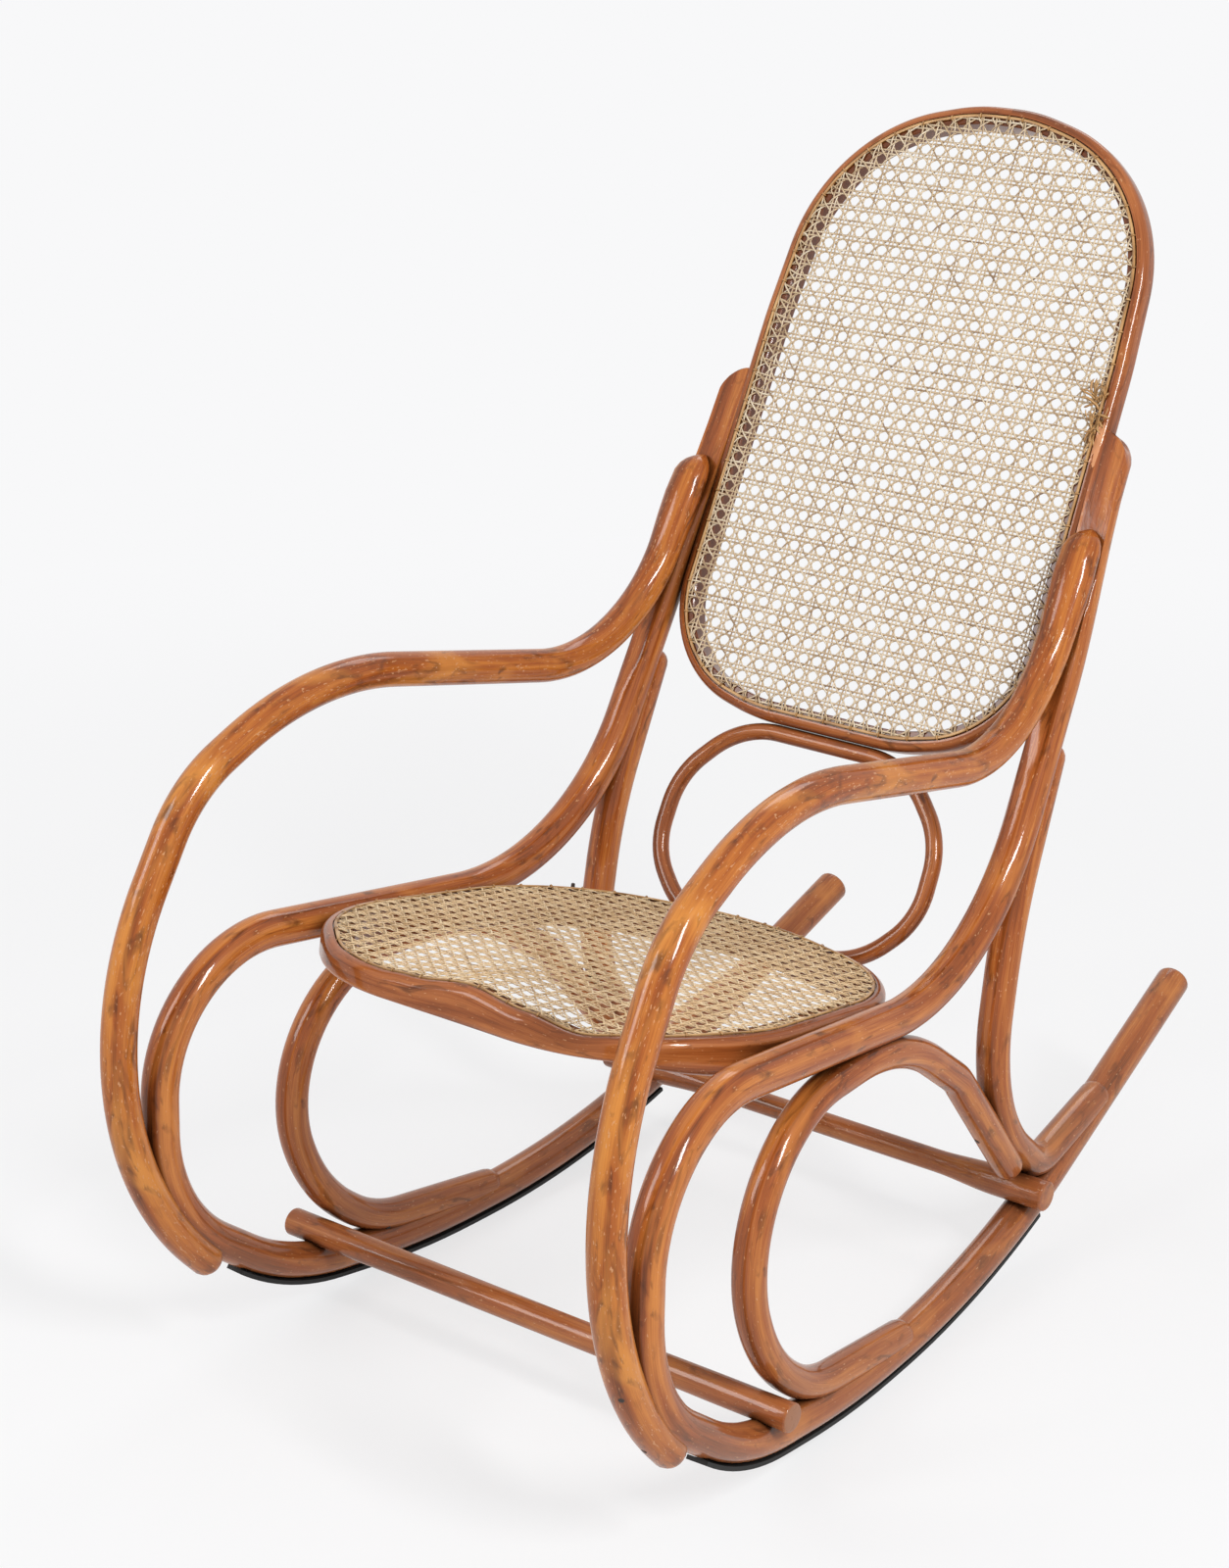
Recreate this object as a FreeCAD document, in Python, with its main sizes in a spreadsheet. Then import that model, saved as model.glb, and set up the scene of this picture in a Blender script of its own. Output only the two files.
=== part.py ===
import FreeCAD, Part
import math
import os
import Sketcher
from FreeCAD import Placement, Rotation, Vector

# A bentwood rocking chair. X is across, the front faces -Y, Z is up, sizes are in millimetres.
# Each side is drawn in its own upright plane, toed in towards the back: rail, arm, scroll and rear leg are
# bent rods, given by the corners of their centre line and the radius of the bend at each corner.

RODS = {
    "rail": {
        "across": 33.0,
        "top": (377.5, 763.0),
        "seat_back": (94.5, 317.0, 228.0),
        "seat_front": (-426.5, 425.5, 122.0),
        "shin": (-447.0, 180.0, 160.0),
        "toe": (-308.0, 61.5, 250.0),
        "sole_front": (-142.0, 26.5, 880.0),
        "sole_back": (71.5, 15.2, 880.0),
        "heel": (230.5, 51.5, 490.0),
        "tail": (516.0, 145.0),
    },
    "arm": {
        "across": 31.5,
        "top": (288.2, 674.0),
        "elbow": (179.0, 501.5, 168.0),
        "rest": (-226.5, 618.5, 305.0),
        "knuckle": (-381.0, 561.0, 140.0),
        "loop": (-584.5, 261.5, 300.0),
        "foot": (-364.5, 81.5),
    },
    "scroll": {
        "across": 29.5,
        "tip": (-30.5, 26.5),
        "bottom": (-196.5, 61.0, 68.0),
        "front": (-269.0, 124.5, 93.0),
        "crown_front": (-330.5, 346.0, 124.0),
        "crown_back": (-45.0, 326.5, 236.0),
        "shoulder": (59.0, 240.0, 75.0),
        "end": (168.0, 94.0),
    },
    "leg": {
        "across": 31.0,
        "top": (229.5, 501.5),
        "shank": (152.5, 355.5, 440.0),
        "calf": (110.5, 180.5, 168.0),
        "ankle": (216.0, 77.0, 43.0),
        "foot": (352.0, 94.0),
    },
}

# Closed outlines, right half from the top: the corners and the radius of the bend at each.
OUTLINES = {
    "seat": {"rear": (39.5, 236.0, 180.0), "rear_corner": (212.0, 175.0, 172.0),
             "front_corner": (233.5, -123.5, 165.0), "front": (123.5, -232.0, 143.0)},
    "back": {"crown": (31.5, 359.7, 183.7), "upper": (184.9, 319.0, 165.3), "middle": (197.2, 132.6, 422.8),
             "lower": (202.3, -224.1, 113.4), "base": (80.2, -253.5, 188.9)},
    "ring": {"upper": (91.5, 0.0, 90.0), "upper_side": (146.0, -60.5, 80.0),
             "lower_side": (147.5, -134.5, 72.0), "lower": (96.5, -190.5, 87.0)},
}

OTHER_SIZES = {
    "rod_sides": 8,
    "clearance": 0.3,
    # the side planes
    "side_half_gap": 234.2,
    "side_toe": 3.27,
    "arm_inset": 3.5,
    # seat
    "seat_middle_y": -135.0,
    "seat_middle_height": 378.7,
    "seat_slope": 14.6,
    "seat_depth": 34.0,
    "seat_wall": 27.0,
    "seat_scoop_radius": 480.0,
    "seat_scoop_depth": 11.0,
    "seat_scoop_reach": 130.0,
    "seat_scoop_overrun": 13.0,
    # back
    "back_middle_y": 327.0,
    "back_middle_height": 686.8,
    "back_lean": 30.7,
    "back_depth": 25.0,
    "back_wall": 19.0,
    "stile_flat": 12.6,
    "stile_flat_start": 470.0,
    "stile_shoulder": 470.0,
    "stile_round": 34.0,
    "arm_round": 31.5,
    # cane
    "cane_thickness": 1.8,
    "cane_rebate": 1.2,
    "cane_margin": 9.0,
    "cane_pitch": 45.0,
    "cane_gap": 28.0,
    "cane_gap_margin": 3.0,
    "binding_inset": 1.0,
    "binding_width": 5.0,
    "binding_height": 1.2,
    # ring
    "ring_across": 16.0,
    "ring_sides": 6,
    # stretchers
    "front_stretcher_y": -268.0,
    "front_stretcher_half": 279.0,
    "front_stretcher_middle": 25.0,
    "front_stretcher_end": 26.0,
    "rear_stretcher_y": 181.0,
    "rear_stretcher_half": 256.0,
    "rear_stretcher_middle": 22.0,
    "rear_stretcher_end": 29.0,
    "stretcher_swell": 110.0,
    "saddle_depth": 2.0,
    # strips under the runners
    "strip_width": 20.0,
    "strip_thickness": 4.0,
    "strip_front_y": -358.0,
    "strip_rear_y": 207.0,
    # whole
    "room": 470.0,
    "balance_tilt": 2.42,
}

doc = FreeCAD.newDocument("RockingChair")
sheet = doc.addObject("Spreadsheet::Sheet", "Sizes")
rowCount = 0


def addSize(name, value):
    global rowCount
    rowCount += 1
    sheet.set("A%d" % rowCount, name)
    sheet.set("B%d" % rowCount, str(value))
    sheet.setAlias("B%d" % rowCount, name)


def addCorners(prefix, corners):
    for name, corner in corners.items():
        if name == "across":
            addSize(prefix + "_across", corner)
            continue
        for word, value in zip(("first", "second", "bend"), corner):
            addSize("%s_%s_%s" % (prefix, name, word), value)


for rodName, rodCorners in RODS.items():
    addCorners(rodName, rodCorners)
for outlineName, outlineCorners in OUTLINES.items():
    addCorners(outlineName, outlineCorners)
for sizeName, sizeValue in OTHER_SIZES.items():
    addSize(sizeName, sizeValue)
doc.recompute()


def size(name):
    return float(sheet.get(name))


def evaluate(text):
    # the value of aliases and numbers added and taken away
    total = 0.0
    for term in text.replace("-", "+-").replace(" ", "").split("+"):
        if term:
            word = term.lstrip("-")
            value = size(word[6:]) if word.startswith("Sizes.") else float(word)
            total += -value if term.startswith("-") else value
    return total


def corner(prefix, name):
    point = Vector(size("%s_%s_first" % (prefix, name)), size("%s_%s_second" % (prefix, name)), 0)
    hasBend = len(RODS.get(prefix, OUTLINES.get(prefix))[name]) == 3
    return point, size("%s_%s_bend" % (prefix, name)) if hasBend else 0


def bendOf(before, here, after, radius):
    # where a bend leaves the run before it and joins the run after it, and its centre
    back = (before - here).normalize()
    ahead = (after - here).normalize()
    halfTurn = (math.pi - back.getAngle(ahead)) / 2
    run = radius * math.tan(halfTurn)
    centre = here + (back + ahead).normalize() * math.hypot(radius, run)
    return here + back * run, here + ahead * run, centre


def plane(body, role):
    return [feature for feature in body.Origin.OriginFeatures if feature.Role == role][0]


def newSketch(body, name, role):
    sketch = body.newObject("Sketcher::SketchObject", name)
    sketch.AttachmentSupport = [(plane(body, role), "")]
    sketch.MapMode = "FlatFace"
    return sketch


def bindDistance(sketch, kind, geometry, place, value, expression):
    index = sketch.addConstraint(Sketcher.Constraint(kind, -1, 1, geometry, place, value))
    sketch.setExpression("Constraints[%d]" % index, expression)


def bindPoint(sketch, geometry, place, point, expressions):
    bindDistance(sketch, "DistanceX", geometry, place, point.x, expressions[0])
    bindDistance(sketch, "DistanceY", geometry, place, point.y, expressions[1])


def drawBends(sketch, corners, closed):
    # corners: point, radius, expressions for both coordinates and for the radius
    count = len(corners)
    bends = []
    for i in range(count):
        point, radius, texts = corners[i]
        if radius:
            start, end, centre = bendOf(corners[i - 1][0], point, corners[(i + 1) % count][0], radius)
            bends.append((i, start, end, centre))
    lines = []
    arcs = []
    steps = len(bends) if closed else len(bends) + 1
    for k in range(steps):
        start = bends[k - 1][2] if closed or k > 0 else corners[0][0]
        end = bends[k][1] if k < len(bends) else corners[-1][0]
        lines.append(sketch.addGeometry(Part.LineSegment(start, end)))
    for i, start, end, centre in bends:
        first = start - centre
        last = end - centre
        leftTurn = first.cross(last).z > 0
        angles = [math.atan2(first.y, first.x), math.atan2(last.y, last.x)]
        if not leftTurn:
            angles.reverse()
        circle = Part.Circle(centre, Vector(0, 0, 1), corners[i][1])
        arcs.append((sketch.addGeometry(Part.ArcOfCircle(circle, *angles)), leftTurn))
    for k in range(len(bends)):
        arc, leftTurn = arcs[k]
        ahead = lines[(k + 1) % len(lines)]
        sketch.addConstraint(Sketcher.Constraint("Tangent", lines[k], 2, arc, 1 if leftTurn else 2))
        sketch.addConstraint(Sketcher.Constraint("Tangent", arc, 2 if leftTurn else 1, ahead, 1))
        point, radius, texts = corners[bends[k][0]]
        index = sketch.addConstraint(Sketcher.Constraint("Radius", arc, radius))
        sketch.setExpression("Constraints[%d]" % index, texts[2])
        mark = sketch.addGeometry(Part.Point(point), True)
        sketch.addConstraint(Sketcher.Constraint("PointOnObject", mark, 1, lines[k]))
        sketch.addConstraint(Sketcher.Constraint("PointOnObject", mark, 1, ahead))
        bindPoint(sketch, mark, 1, point, texts)
    if not closed:
        bindPoint(sketch, lines[0], 1, corners[0][0], corners[0][2])
        bindPoint(sketch, lines[-1], 2, corners[-1][0], corners[-1][2])
    return sketch


def rodCornerList(rod, names):
    corners = []
    for name in names:
        point, radius = corner(rod, name)
        texts = ["Sizes.%s_%s_%s" % (rod, name, word) for word in ("first", "second", "bend")]
        corners.append((point, radius, texts))
    return corners


def drawRodPath(sketch, rod):
    names = [name for name in RODS[rod] if name != "across"]
    return drawBends(sketch, rodCornerList(rod, names), False)


def drawOutline(sketch, outline):
    # the whole outline from its right half
    right = rodCornerList(outline, list(OUTLINES[outline]))
    left = []
    for point, radius, texts in reversed(right):
        left.append((Vector(-point.x, point.y, 0), radius, ["-" + texts[0], texts[1], texts[2]]))
    return drawBends(sketch, right + left, True)


def drawSection(sketch, across, sides, grow="0"):
    # a many-sided section with a flat on top, its corners on one circle, wider all round by grow
    radius = (size(across) / 2 + evaluate(grow)) / math.cos(math.pi / sides)
    turn = 2 * math.pi / sides
    points = [Vector(radius * math.cos((i + 0.5) * turn), radius * math.sin((i + 0.5) * turn), 0)
              for i in range(sides)]
    circle = sketch.addGeometry(Part.Circle(Vector(0, 0, 0), Vector(0, 0, 1), radius), True)
    sketch.addConstraint(Sketcher.Constraint("Coincident", circle, 3, -1, 1))
    index = sketch.addConstraint(Sketcher.Constraint("Radius", circle, radius))
    text = "(Sizes.%s / 2 + %s) / cos(180 deg / %d)" % (across, grow, sides)
    sketch.setExpression("Constraints[%d]" % index, text)
    lines = [sketch.addGeometry(Part.LineSegment(points[i], points[(i + 1) % sides])) for i in range(sides)]
    for i in range(sides):
        sketch.addConstraint(Sketcher.Constraint("Coincident", lines[i], 2, lines[(i + 1) % sides], 1))
        sketch.addConstraint(Sketcher.Constraint("PointOnObject", lines[i], 1, circle))
        if i:
            sketch.addConstraint(Sketcher.Constraint("Equal", lines[0], lines[i]))
    sketch.addConstraint(Sketcher.Constraint("Vertical", lines[-1]))


def sidePlacement(side, inset=0.0):
    place = Placement(Vector(side * (size("side_half_gap") - inset), 0, 0), Rotation(Vector(0, 0, 1), 0))
    turn = Placement(Vector(0, 0, 0), Rotation(Vector(0, 0, 1), side * size("side_toe")))
    return place.multiply(turn)


def addRod(name, rod, side, inset=0.0, grow="0"):
    # a rod bent along its centre line in the plane of one side
    body = doc.addObject("PartDesign::Body", name)
    path = newSketch(body, name + "_path", "YZ_Plane")
    drawRodPath(path, rod)
    doc.recompute()
    section = body.newObject("Sketcher::SketchObject", name + "_section")
    section.AttachmentSupport = [(path, "Edge1")]
    section.MapMode = "NormalToEdge"
    drawSection(section, rod + "_across", int(size("rod_sides")), grow)
    pipe = body.newObject("PartDesign::AdditivePipe", name + "_pipe")
    pipe.Profile = section
    pipe.Spine = path
    body.Placement = sidePlacement(side, inset)
    return body


def cut(name, base, tools):
    # takes the room of each tool out of the base, one after the other
    piece = base
    for i, tool in enumerate(tools):
        last = i == len(tools) - 1
        step = doc.addObject("Part::Cut", name if last else "%s_less_%s" % (name, tool.Name))
        step.Base = piece
        step.Tool = tool
        piece = step
    return piece


finished = []


def finish(piece, label):
    piece.Label = label
    finished.append(piece)
    return piece


def bind(feature, **expressions):
    for name, expression in expressions.items():
        feature.setExpression(name, expression)


def slopedPlacement(prefix, y, height, degrees):
    return Placement(Vector(0, size(prefix + y), size(prefix + height)), Rotation(Vector(1, 0, 0), degrees))


# the seat's top plane slopes down to the back, the back's middle plane leans back
seatPlace = slopedPlacement("seat_middle_", "y", "height", -size("seat_slope"))
backPlace = slopedPlacement("back_middle_", "y", "height", 90 - size("back_lean"))


def addOutline(name, outline, place):
    sketch = doc.addObject("Sketcher::SketchObject", name)
    drawOutline(sketch, outline)
    sketch.Placement = place
    return sketch


def offset(name, source, expression):
    moved = doc.addObject("Part::Offset2D", name)
    moved.Source = source
    moved.setExpression("Value", expression)
    return moved


def extrude(name, source, place, ahead, behind="0"):
    # ahead goes up from the seat or forward from the back
    block = doc.addObject("Part::Extrusion", name)
    block.Base = source
    block.DirMode = "Custom"
    block.Dir = place.Rotation.multVec(Vector(0, 0, 1))
    block.Solid = True
    bind(block, LengthFwd=ahead, LengthRev=behind)
    return block


def common(name, first, second):
    both = doc.addObject("Part::Common", name)
    both.Base = first
    both.Tool = second
    return both


# the space above the seat, lowered by a drop, with the hollow in the middle of its front edge
def aboveSeat(name, drop):
    block = doc.addObject("Part::Box", name + "_block")
    bind(block, Length="2 * Sizes.room", Width="2 * Sizes.room", Height="Sizes.seat_depth")
    reach = size("room")
    block.Placement = seatPlace.multiply(Placement(Vector(-reach, -reach, -evaluate(drop)), Rotation()))
    roller = doc.addObject("Part::Cylinder", name + "_roller")
    bind(roller, Radius="Sizes.seat_scoop_radius + " + drop,
         Height="Sizes.seat_scoop_reach + 2 * Sizes.seat_scoop_overrun")
    tilt = math.degrees(math.atan(size("seat_scoop_depth") / size("seat_scoop_reach")))
    front = Vector(0, size("seat_front_second"), size("seat_scoop_radius") - size("seat_scoop_depth"))
    lay = Placement(front, Rotation(Vector(1, 0, 0), tilt)).multiply(
        Placement(Vector(0, -size("seat_scoop_overrun"), 0), Rotation(Vector(1, 0, 0), -90)))
    roller.Placement = seatPlace.multiply(lay)
    both = doc.addObject("Part::Fuse", name)
    both.Base = block
    both.Tool = roller
    return both


def netFace(name, outline, place, wallSize):
    # one face with rows of square gaps wherever they fit in the frame's opening
    flat = outline.Shape.copy()
    flat.Placement = place.inverse().multiply(flat.Placement)
    wire = flat.Wires[0]
    pitch = size("cane_pitch")
    half = size("cane_gap") / 2
    keep = wallSize - size("cane_margin") + size("cane_gap_margin")
    wires = [wire]
    box = wire.BoundBox
    face = Part.Face(wire)
    columns = int(box.XMax / pitch)
    rows = int(max(box.YMax, -box.YMin) / pitch)
    for column in range(-columns, columns + 1):
        for row in range(-rows, rows + 1):
            middle = Vector(column * pitch, (row + 0.5) * pitch, 0)
            signs = ((1, 1), (-1, 1), (-1, -1), (1, -1))
            corners = [middle + Vector(x * half, y * half, 0) for x, y in signs]
            inside = [face.isInside(point, size("clearance"), True) for point in corners]
            if all(inside) and min(wire.distToShape(Part.Vertex(point))[0] for point in corners) > keep:
                wires.append(Part.makePolygon(corners + corners[:1]))
    net = doc.addObject("Part::Feature", name)
    net.Shape = Part.Face(wires)
    net.Placement = place
    print(name, "gaps", len(wires) - 1)
    return net


def pathHeight(rod, names, y):
    # the height of a rod's centre line at y, on a stretch between two bends or on a bend
    corners = rodCornerList(rod, names)
    for i in range(1, len(corners) - 1):
        start, end, centre = bendOf(corners[i - 1][0], corners[i][0], corners[i + 1][0], corners[i][1])
        if start.x <= y <= end.x:
            radius = corners[i][1]
            return centre.y - math.sqrt(radius ** 2 - (y - centre.x) ** 2), (y - centre.x) / radius
        before = corners[i - 1][0]
        if before.x <= y < start.x:
            slope = (start.y - before.y) / (start.x - before.x)
            return before.y + slope * (y - before.x), math.sin(math.atan(slope))
    raise ValueError("no runner at %s" % y)


RUNNER = ["shin", "toe", "sole_front", "sole_back", "heel", "tail"]


def addStretcher(name, prefix, grow="0"):
    # a turned rod across both runners, thicker at its ends, half the saddle's depth into each runner
    y = size(prefix + "_y")
    height, lean = pathHeight("rail", RUNNER, y)
    rise = size("rail_across") / 2 / math.sqrt(1 - lean ** 2)
    rise += size(prefix + "_end") / 2 - size("saddle_depth")
    half = size(prefix + "_half") + evaluate(grow)
    swell = size("stretcher_swell")
    stations = [(-half, "_end"), (swell / 2 - half, "_end"), (swell - half, "_middle")]
    stations += [(-x, word) for x, word in reversed(stations)]
    bar = doc.addObject("Part::Loft", name)
    sections = []
    for i, (x, word) in enumerate(stations):
        section = doc.addObject("Sketcher::SketchObject", "%s_section_%d" % (name, i + 1))
        drawSection(section, prefix + word, int(size("rod_sides")), grow)
        section.Placement = Placement(Vector(x, y, height + rise), Rotation(Vector(0, 1, 0), 90))
        sections.append(section)
    bar.Sections = sections
    bar.Solid = True
    bar.Ruled = True
    return bar


def addStrip(name, side, grow="0"):
    # a flat strip bent along the underside of the runner
    body = doc.addObject("PartDesign::Body", name)
    path = newSketch(body, name + "_path", "YZ_Plane")
    ends = []
    for end, sign, before, after in (("front", " - ", "shin", "toe"), ("rear", " + ", "sole_back", "heel")):
        first, second = corner("rail", before)[0], corner("rail", after)[0]
        yText = "Sizes.strip_%s_y%s%s" % (end, sign, grow)
        y = evaluate(yText)
        z = first.y + (y - first.x) * (second.y - first.y) / (second.x - first.x)
        stems = ("Sizes.rail_%s_" % before, "Sizes.rail_%s_" % after)
        zText = "%ssecond + (%s - %sfirst) * (%ssecond - %ssecond) / (%sfirst - %sfirst)" % (
            stems[0], yText, stems[0], stems[1], stems[0], stems[1], stems[0])
        ends.append((Vector(y, z, 0), 0, [yText, zText]))
    drawBends(path, ends[:1] + rodCornerList("rail", ["toe", "sole_front", "sole_back"]) + ends[1:], False)
    doc.recompute()
    section = body.newObject("Sketcher::SketchObject", name + "_section")
    section.AttachmentSupport = [(path, "Edge1")]
    section.MapMode = "NormalToEdge"
    innerText = "-Sizes.rail_across / 2 - Sizes.clearance"
    outerText = innerText + " - Sizes.strip_thickness - " + grow
    inner = -size("rail_across") / 2 - size("clearance")
    outer = inner - size("strip_thickness") - evaluate(grow)
    halfText = "Sizes.strip_width / 2 + " + grow
    half = size("strip_width") / 2 + evaluate(grow)
    points = [(-half, inner, "-(%s)" % halfText, innerText), (half, inner, halfText, innerText),
              (half, outer, halfText, outerText), (-half, outer, "-(%s)" % halfText, outerText)]
    for i in range(4):
        section.addGeometry(Part.LineSegment(Vector(*points[i][:2], 0), Vector(*points[(i + 1) % 4][:2], 0)))
    for i in range(4):
        section.addConstraint(Sketcher.Constraint("Coincident", (i - 1) % 4, 2, i, 1))
        bindPoint(section, i, 1, Vector(*points[i][:2], 0), points[i][2:])
    pipe = body.newObject("PartDesign::AdditivePipe", name + "_pipe")
    pipe.Profile = section
    pipe.Spine = path
    body.Placement = sidePlacement(side)
    return body


# room that other pieces leave
railRoom = {}
legRoom = {}
SIDES = ((1, "right"), (-1, "left"))
backOutline = addOutline("back_outline", "back", backPlace)
doc.recompute()
backRoom = extrude("back_room", offset("back_room_outline", backOutline, "Sizes.clearance"), backPlace,
                   "Sizes.back_depth / 2 + Sizes.clearance", "Sizes.back_depth / 2 + Sizes.clearance")


def endPlacement(rod, low, side, inset=0.0):
    # the foot of a rod's last straight run, its Z up the run and its Y to the rear
    foot = corner(rod, low)[0]
    top = corner(rod, "top")[0]
    lean = math.degrees(math.atan2(top.x - foot.x, top.y - foot.y))
    turn = Placement(Vector(0, foot.x, foot.y), Rotation(Vector(1, 0, 0), -lean))
    return sidePlacement(side, inset).multiply(turn), top.distanceToPoint(foot), math.radians(lean)


def stileFlat(name, side, grow):
    # the block that planes the front of the upright flat, where the arm's top lies
    place, length, lean = endPlacement("rail", "seat_back", side)
    start = (size("stile_flat_start") - size("rail_seat_back_second")) / math.cos(lean)
    block = doc.addObject("Part::Box", name)
    bind(block, Length="2 * Sizes.rail_across", Width="2 * Sizes.rail_across", Height="Sizes.room")
    ahead = 2 * size("rail_across") + size("stile_flat") + evaluate(grow)
    block.Placement = place.multiply(Placement(Vector(-size("rail_across"), -ahead, start), Rotation()))
    return block


def roundTop(name, place, corner, radius, across, turn):
    # what rounding a rod's top takes away: a block less a roller whose end circle starts at the corner
    block = doc.addObject("Part::Box", name + "_block")
    bind(block, Length="2 * Sizes.%s" % across, Width="2 * Sizes.%s" % across, Height="2 * Sizes.%s" % across)
    block.Placement = place.multiply(Placement(corner - Vector(size(across), size(across), 0), Rotation()))
    roller = doc.addObject("Part::Cylinder", name + "_roller")
    bind(roller, Radius="Sizes." + radius, Height="4 * Sizes.%s" % across)
    roller.Placement = place.multiply(Placement(corner, turn)).multiply(
        Placement(Vector(0, 0, -2 * size(across)), Rotation()))
    return cut(name, block, [roller])


def stileTop(name, side):
    # the upright's top falls in a curve from its inner to its outer edge
    place = endPlacement("rail", "seat_back", side)[0]
    edge = Vector(-side * size("rail_across") / 2, 0, size("stile_shoulder"))
    return roundTop(name, place, edge, "stile_round", "rail_across", Rotation(Vector(1, 0, 0), 90))


def armTop(name, side):
    # the arm's top curves back to the upright
    place, length, lean = endPlacement("arm", "elbow", side, size("arm_inset"))
    edge = Vector(0, size("arm_across") / 2, length - size("arm_round"))
    return roundTop(name, place, edge, "arm_round", "arm_across", Rotation(Vector(0, 1, 0), 90))


for side, word in SIDES:
    room = addRod("rail_bar_room_" + word, "rail", side, 0, "Sizes.clearance")
    flat = stileFlat("stile_room_" + word, side, "Sizes.clearance")
    railRoom[side] = cut("rail_room_" + word, room, [flat])
    legRoom[side] = addRod("leg_room_" + word, "leg", side, 0, "Sizes.clearance")
frontRoom = addStretcher("front_stretcher_room", "front_stretcher", "Sizes.clearance")
rearRoom = addStretcher("rear_stretcher_room", "rear_stretcher", "Sizes.clearance")
doc.recompute()

# side frames
for side, word in SIDES:
    railRod = addRod("rail_rod_" + word, "rail", side)
    stileTools = [stileFlat("stile_flat_" + word, side, "0"), stileTop("stile_top_" + word, side), backRoom]
    finish(cut("side_rail_" + word, railRod, stileTools), "side_rail_" + word)
    armRod = addRod("arm_rod_" + word, "arm", side, size("arm_inset"))
    stripRoom = addStrip("strip_room_" + word, side, "Sizes.clearance")
    armTools = [railRoom[side], backRoom, stripRoom, armTop("arm_top_" + word, side)]
    finish(cut("arm_" + word, armRod, armTools), "arm_" + word)
    legRod = addRod("leg_rod_" + word, "leg", side)
    finish(cut("rear_leg_" + word, legRod, [railRoom[side], rearRoom]), "rear_leg_" + word)
    scrollRod = addRod("scroll_rod_" + word, "scroll", side)
    finish(cut("scroll_" + word, scrollRod, [railRoom[side], legRoom[side], rearRoom, frontRoom]),
           "scroll_" + word)
    finish(addStrip("strip_" + word, side), "runner_strip_" + word)

# stretchers
for word in ("front", "rear"):
    bar = addStretcher(word + "_bar", word + "_stretcher")
    finish(cut(word + "_stretcher_seated", bar, [railRoom[1], railRoom[-1]]), word + "_stretcher")

# ring under the back
ringBody = {}
for name, grow in (("ring_bar", "0"), ("ring_room", "Sizes.clearance")):
    body = doc.addObject("PartDesign::Body", name)
    path = newSketch(body, name + "_path", "XY_Plane")
    drawOutline(path, "ring")
    doc.recompute()
    section = body.newObject("Sketcher::SketchObject", name + "_section")
    section.AttachmentSupport = [(path, "Edge1")]
    section.MapMode = "NormalToEdge"
    drawSection(section, "ring_across", int(size("ring_sides")), grow)
    pipe = body.newObject("PartDesign::AdditivePipe", name + "_pipe")
    pipe.Profile = section
    pipe.Spine = path
    drop = corner("back", "base")[0].y - size("ring_across") / 2 - size("clearance")
    body.Placement = backPlace.multiply(Placement(Vector(0, drop, 0), Rotation()))
    ringBody[name] = body
finish(ringBody["ring_bar"], "back_ring")

# seat
seatOutline = addOutline("seat_outline", "seat", seatPlace)
doc.recompute()
underCane = "Sizes.cane_rebate"
onCane = "Sizes.cane_rebate - Sizes.cane_thickness"
onBinding = onCane + " - Sizes.binding_height"
seatBlock = extrude("seat_block", seatOutline, seatPlace, "0", "Sizes.seat_depth")
seatHole = extrude("seat_hole", offset("seat_hole_outline", seatOutline, "-Sizes.seat_wall"), seatPlace,
                   "Sizes.seat_depth", "2 * Sizes.seat_depth")
caneEdge = offset("seat_cane_edge", seatOutline, "-Sizes.cane_margin")
caneColumn = extrude("seat_cane_column", caneEdge, seatPlace, "Sizes.seat_depth", "Sizes.seat_depth")
caneSpace = common("seat_cane_space", caneColumn, aboveSeat("over_seat_rebate", underCane))
seatTools = [seatHole, aboveSeat("over_seat", "0"), caneSpace]
seatTools += [railRoom[1], railRoom[-1], ringBody["ring_room"]]
finish(cut("seat_frame", seatBlock, seatTools), "seat_frame")
netEdge = offset("seat_net_edge", seatOutline, "-Sizes.cane_margin - Sizes.clearance")
doc.recompute()
net = extrude("seat_net", netFace("seat_net_face", netEdge, seatPlace, size("seat_wall")), seatPlace,
              "Sizes.seat_depth", "Sizes.seat_depth")
netAbove = common("seat_net_above", net, aboveSeat("over_seat_cane", underCane))
finish(cut("seat_cane", netAbove, [aboveSeat("over_seat_cane_top", onCane)]), "seat_cane")
bindingEdge = "-Sizes.cane_margin - Sizes.binding_inset"
bindingOuter = extrude("seat_binding_outer", offset("seat_binding_edge", seatOutline, bindingEdge), seatPlace,
                       "Sizes.seat_depth", "Sizes.seat_depth")
inside = offset("seat_binding_inside", seatOutline, bindingEdge + " - Sizes.binding_width")
bindingInner = extrude("seat_binding_inner", inside, seatPlace, "Sizes.seat_depth", "Sizes.seat_depth")
bindingAbove = common("seat_binding_above", cut("seat_binding_ring", bindingOuter, [bindingInner]),
                      aboveSeat("over_seat_binding", onCane))
finish(cut("seat_cane_binding", bindingAbove, [aboveSeat("over_seat_binding_top", onBinding)]),
       "seat_cane_binding")

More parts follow.
